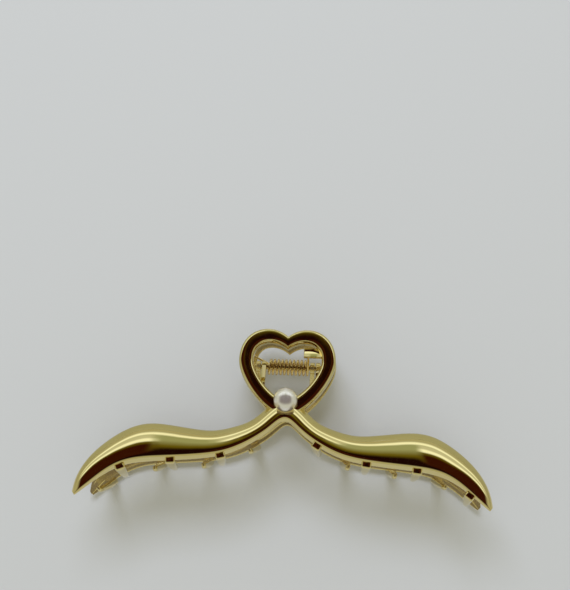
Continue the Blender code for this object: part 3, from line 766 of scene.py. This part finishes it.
clip_out = (mount_axes["thumb_face"] - mount_axes["finger_face"]).normalized()
clip_axes = Matrix((Vector((1, 0, 0)), clip_out.cross(Vector((1, 0, 0))), clip_out)).transposed()

camera = bpy.data.objects.new("camera", bpy.data.cameras.new("camera"))
bpy.context.scene.collection.objects.link(camera)
camera.data.sensor_width = 36.0
camera.data.lens = FOCAL_PIXELS * camera.data.sensor_width / FRAME_HEIGHT
right, up = clip_axes @ CAMERA_RIGHT.normalized(), clip_axes @ CAMERA_UP.normalized()
turn = Matrix((right, up, right.cross(up))).transposed().to_4x4()
camera.matrix_world = Matrix.Translation(hinge + clip_axes @ CAMERA_AT * MM) @ turn
camera.data.clip_start, camera.data.clip_end = 0.01, 20.0
bpy.context.scene.camera = camera
print(f"camera {camera.location.z:.3f} m up, lens {camera.data.lens:.1f} mm")

# %% [markdown]
# ## Table and light
# A plain pale table, soft warm light from all round and one cooler window lamp, which gives the shadows.
# What makes polished metal look like metal is the dark it reflects, so reflections see a room of their
# own, in a few plain tones: it is dark overhead and darkest in the middle, paler panes stand to either
# side, a bright strip lies low behind the heart and draws the line of light along the arms, and the table
# behind the clip, as reflections see it, carries a painted shade that makes it a little darker.

# %% Table
TABLE_SIZE = 4.0
# bounds of the painted shade on the table: behind the clip, and off its middle
BEHIND_FROM, BEHIND_TO, BESIDE_FROM, BESIDE_TO = -0.02, 0.01, 0.012, 0.022


def pale_table():
    material, tree, shader, _ = new_finish("pale_table")
    shader.inputs["Roughness"].default_value = 0.6
    side = add(tree, "ShaderNodeNewGeometry", {}, {})
    ray = add(tree, "ShaderNodeLightPath", {}, {})
    lies = add(tree, "ShaderNodeSeparateXYZ", {}, {"Vector": side.outputs["Position"]})
    behind = add(
        tree, "ShaderNodeMapRange", {},
        {"Value": lies.outputs["Y"], "From Min": BEHIND_FROM, "From Max": BEHIND_TO},
    )
    off_middle = add(tree, "ShaderNodeMath", {"operation": "ABSOLUTE"}, {0: lies.outputs["X"]})
    beside = add(
        tree, "ShaderNodeMapRange", {},
        {"Value": off_middle.outputs[0], "From Min": BESIDE_FROM, "From Max": BESIDE_TO},
    )
    # painted shade: behind the clip and off its middle, the table that reflections see turns a darker, warmer tone
    # in place of the shade there
    painted_shade_patch = add(
        tree, "ShaderNodeMath", {"operation": "MULTIPLY"},
        {0: behind.outputs["Result"], 1: beside.outputs["Result"]},
    )
    seen = add(
        tree, "ShaderNodeMath", {"operation": "MULTIPLY"},
        {0: ray.outputs["Is Glossy Ray"], 1: painted_shade_patch.outputs[0]},
    )
    tint = add(
        tree, "ShaderNodeMix", {"data_type": "RGBA"},
        {"Factor": seen.outputs[0], "A": linear("#C2C4C3"), "B": linear("#A7A893")},
    )
    tree.links.new(tint.outputs["Result"], shader.inputs["Base Color"])
    clear = add(tree, "ShaderNodeBsdfTransparent", {}, {})
    mixed = tree.nodes.new("ShaderNodeMixShader")
    tree.links.new(side.outputs["Backfacing"], mixed.inputs[0])
    tree.links.new(shader.outputs[0], mixed.inputs[1])
    tree.links.new(clear.outputs[0], mixed.inputs[2])
    tree.links.new(mixed.outputs[0], tree.nodes["Material Output"].inputs["Surface"])
    return material


def lay_table():
    bm = bmesh.new()
    bmesh.ops.create_grid(bm, x_segments=1, y_segments=1, size=TABLE_SIZE / 2)
    mesh = bpy.data.meshes.new("table")
    bm.to_mesh(mesh)
    bm.free()
    mesh.materials.append(pale_table())
    card = bpy.data.objects.new("table", mesh)
    bpy.context.scene.collection.objects.link(card)


lay_table()
print(f"table laid, {TABLE_SIZE} m square")

# %% Window lamp
LAMP_AT, LAMP_SIZE, LAMP_WATTS = Vector((-0.12, 0.5, 0.9)), (0.5, 0.4), 6.0
lamp = bpy.data.objects.new("window", bpy.data.lights.new("window", "AREA"))
bpy.context.scene.collection.objects.link(lamp)
lamp.data.shape = "RECTANGLE"
lamp.data.size, lamp.data.size_y = LAMP_SIZE
lamp.data.energy = LAMP_WATTS
lamp.data.color = linear("#E0E6FF")[:3]
lamp.visible_glossy = False
lamp.location = LAMP_AT
lamp.rotation_euler = (-LAMP_AT).to_track_quat("-Z", "Y").to_euler()
print(f"window lamp: {LAMP_WATTS} W")

# %% Tones of the reflected room
# the few tones of the set-up
WALL, DIM_WALL, PANE, BRIGHT = "#A0A090", "#909880", "#B8BCB8", "#F0F8FF"
WARM_SHADE, DARK_ROOM, DARKEST = "#605818", "#301004", "#180604"
# degrees from overhead towards the heart end, the tone that polished metal finds there, and its cover
ROOM_TONES = (
    (-90, WALL, 1), (-55, WALL, 1), (-38, DARK_ROOM, 1), (25, DARK_ROOM, 1), (40, WARM_SHADE, 1),
    (54, DIM_WALL, 1), (66, DIM_WALL, 1), (71, BRIGHT, 1), (74, BRIGHT, 1), (80, WALL, 1),
)
SIDE_PANES = (
    (20, DARK_ROOM, 0), (28, DARK_ROOM, 1), (42, DARK_ROOM, 1), (48, WARM_SHADE, 1), (51, BRIGHT, 1),
    (55, BRIGHT, 1), (59, PANE, 1), (65, PANE, 1), (70, PANE, 0),
)
DARK_MIDDLE = ((-44, DARKEST, 0), (-36, DARKEST, 1), (31, DARKEST, 1), (38, DARKEST, 0))
FAR_WALLS = ((-90, WALL, 1), (90, WALL, 1))
# layers over the room, in turn: tones, the stretch off the middle over which their cover changes, and their
# cover before it
LAYERS = ((SIDE_PANES, 0.06, 0.14, 0.0), (DARK_MIDDLE, 0.06, 0.1, 1.0), (FAR_WALLS, 0.75, 0.95, 0.0))
ROOM_STRENGTH = 1.35
print("layers of the reflected room:", 1 + len(LAYERS))

# %% Surroundings
def tone_ramp(tree, angle, tones):
    """A ramp of tones by the angle from overhead, with their cover as its alpha."""
    ramp = add(tree, "ShaderNodeValToRGB", {}, {"Fac": angle})
    stops = ramp.color_ramp.elements
    while len(stops) < len(tones):
        stops.new(1.0)
    for stop, (degrees, code, cover) in zip(stops, tones):
        stop.position = (degrees + 90) / 180
        stop.color = (*linear(code)[:3], cover)
    return ramp


def laid_over(tree, under, ramp, off_middle, near, far, at_near):
    """Lays a ramp over a colour; its cover turns from at_near to the opposite between near and far."""
    reach = add(
        tree, "ShaderNodeMapRange", {"interpolation_type": "SMOOTHSTEP"},
        {
            "Value": off_middle, "From Min": near, "From Max": far,
            "To Min": at_near, "To Max": 1.0 - at_near,
        },
    )
    cover = add(
        tree, "ShaderNodeMath", {"operation": "MULTIPLY"},
        {0: ramp.outputs["Alpha"], 1: reach.outputs["Result"]},
    )
    laid = add(tree, "ShaderNodeMix", {"data_type": "RGBA"}, {"Factor": cover.outputs[0]})
    tree.links.new(under, laid.inputs["A"])
    tree.links.new(ramp.outputs["Color"], laid.inputs["B"])
    return laid.outputs["Result"]


def soft_room():
    world = bpy.data.worlds.new("soft_room")
    world.use_nodes = True
    tree = world.node_tree
    plain = tree.nodes["Background"]
    plain.inputs["Color"].default_value = linear("#DEDCCE")
    plain.inputs["Strength"].default_value = 1.0
    way = add(tree, "ShaderNodeTexCoord", {}, {})
    sides = add(tree, "ShaderNodeSeparateXYZ", {}, {"Vector": way.outputs["Generated"]})
    turn = add(
        tree, "ShaderNodeMath", {"operation": "ARCTAN2"}, {0: sides.outputs["Y"], 1: sides.outputs["Z"]}
    )
    angle = add(
        tree, "ShaderNodeMapRange", {},
        {"Value": turn.outputs[0], "From Min": -math.pi / 2, "From Max": math.pi / 2},
    ).outputs["Result"]
    off_middle = add(tree, "ShaderNodeMath", {"operation": "ABSOLUTE"}, {0: sides.outputs["X"]}).outputs[0]
    tones = tone_ramp(tree, angle, ROOM_TONES).outputs["Color"]
    for layer, near, far, at_near in LAYERS:
        tones = laid_over(tree, tones, tone_ramp(tree, angle, layer), off_middle, near, far, at_near)
    reflected = add(tree, "ShaderNodeBackground", {}, {"Color": tones, "Strength": ROOM_STRENGTH})
    ray = add(tree, "ShaderNodeLightPath", {}, {})
    direct = add(
        tree, "ShaderNodeMath", {"operation": "LESS_THAN"}, {0: ray.outputs["Diffuse Depth"], 1: 0.5}
    )
    seen = add(
        tree, "ShaderNodeMath", {"operation": "MULTIPLY"},
        {0: ray.outputs["Is Glossy Ray"], 1: direct.outputs[0]},
    )
    mixed = add(
        tree, "ShaderNodeMixShader", {}, {0: seen.outputs[0], 1: plain.outputs[0], 2: reflected.outputs[0]}
    )
    tree.links.new(mixed.outputs[0], tree.nodes["World Output"].inputs["Surface"])
    return world


bpy.context.scene.world = soft_room()
bpy.context.scene.view_settings.view_transform = "Standard"
print("surroundings set")
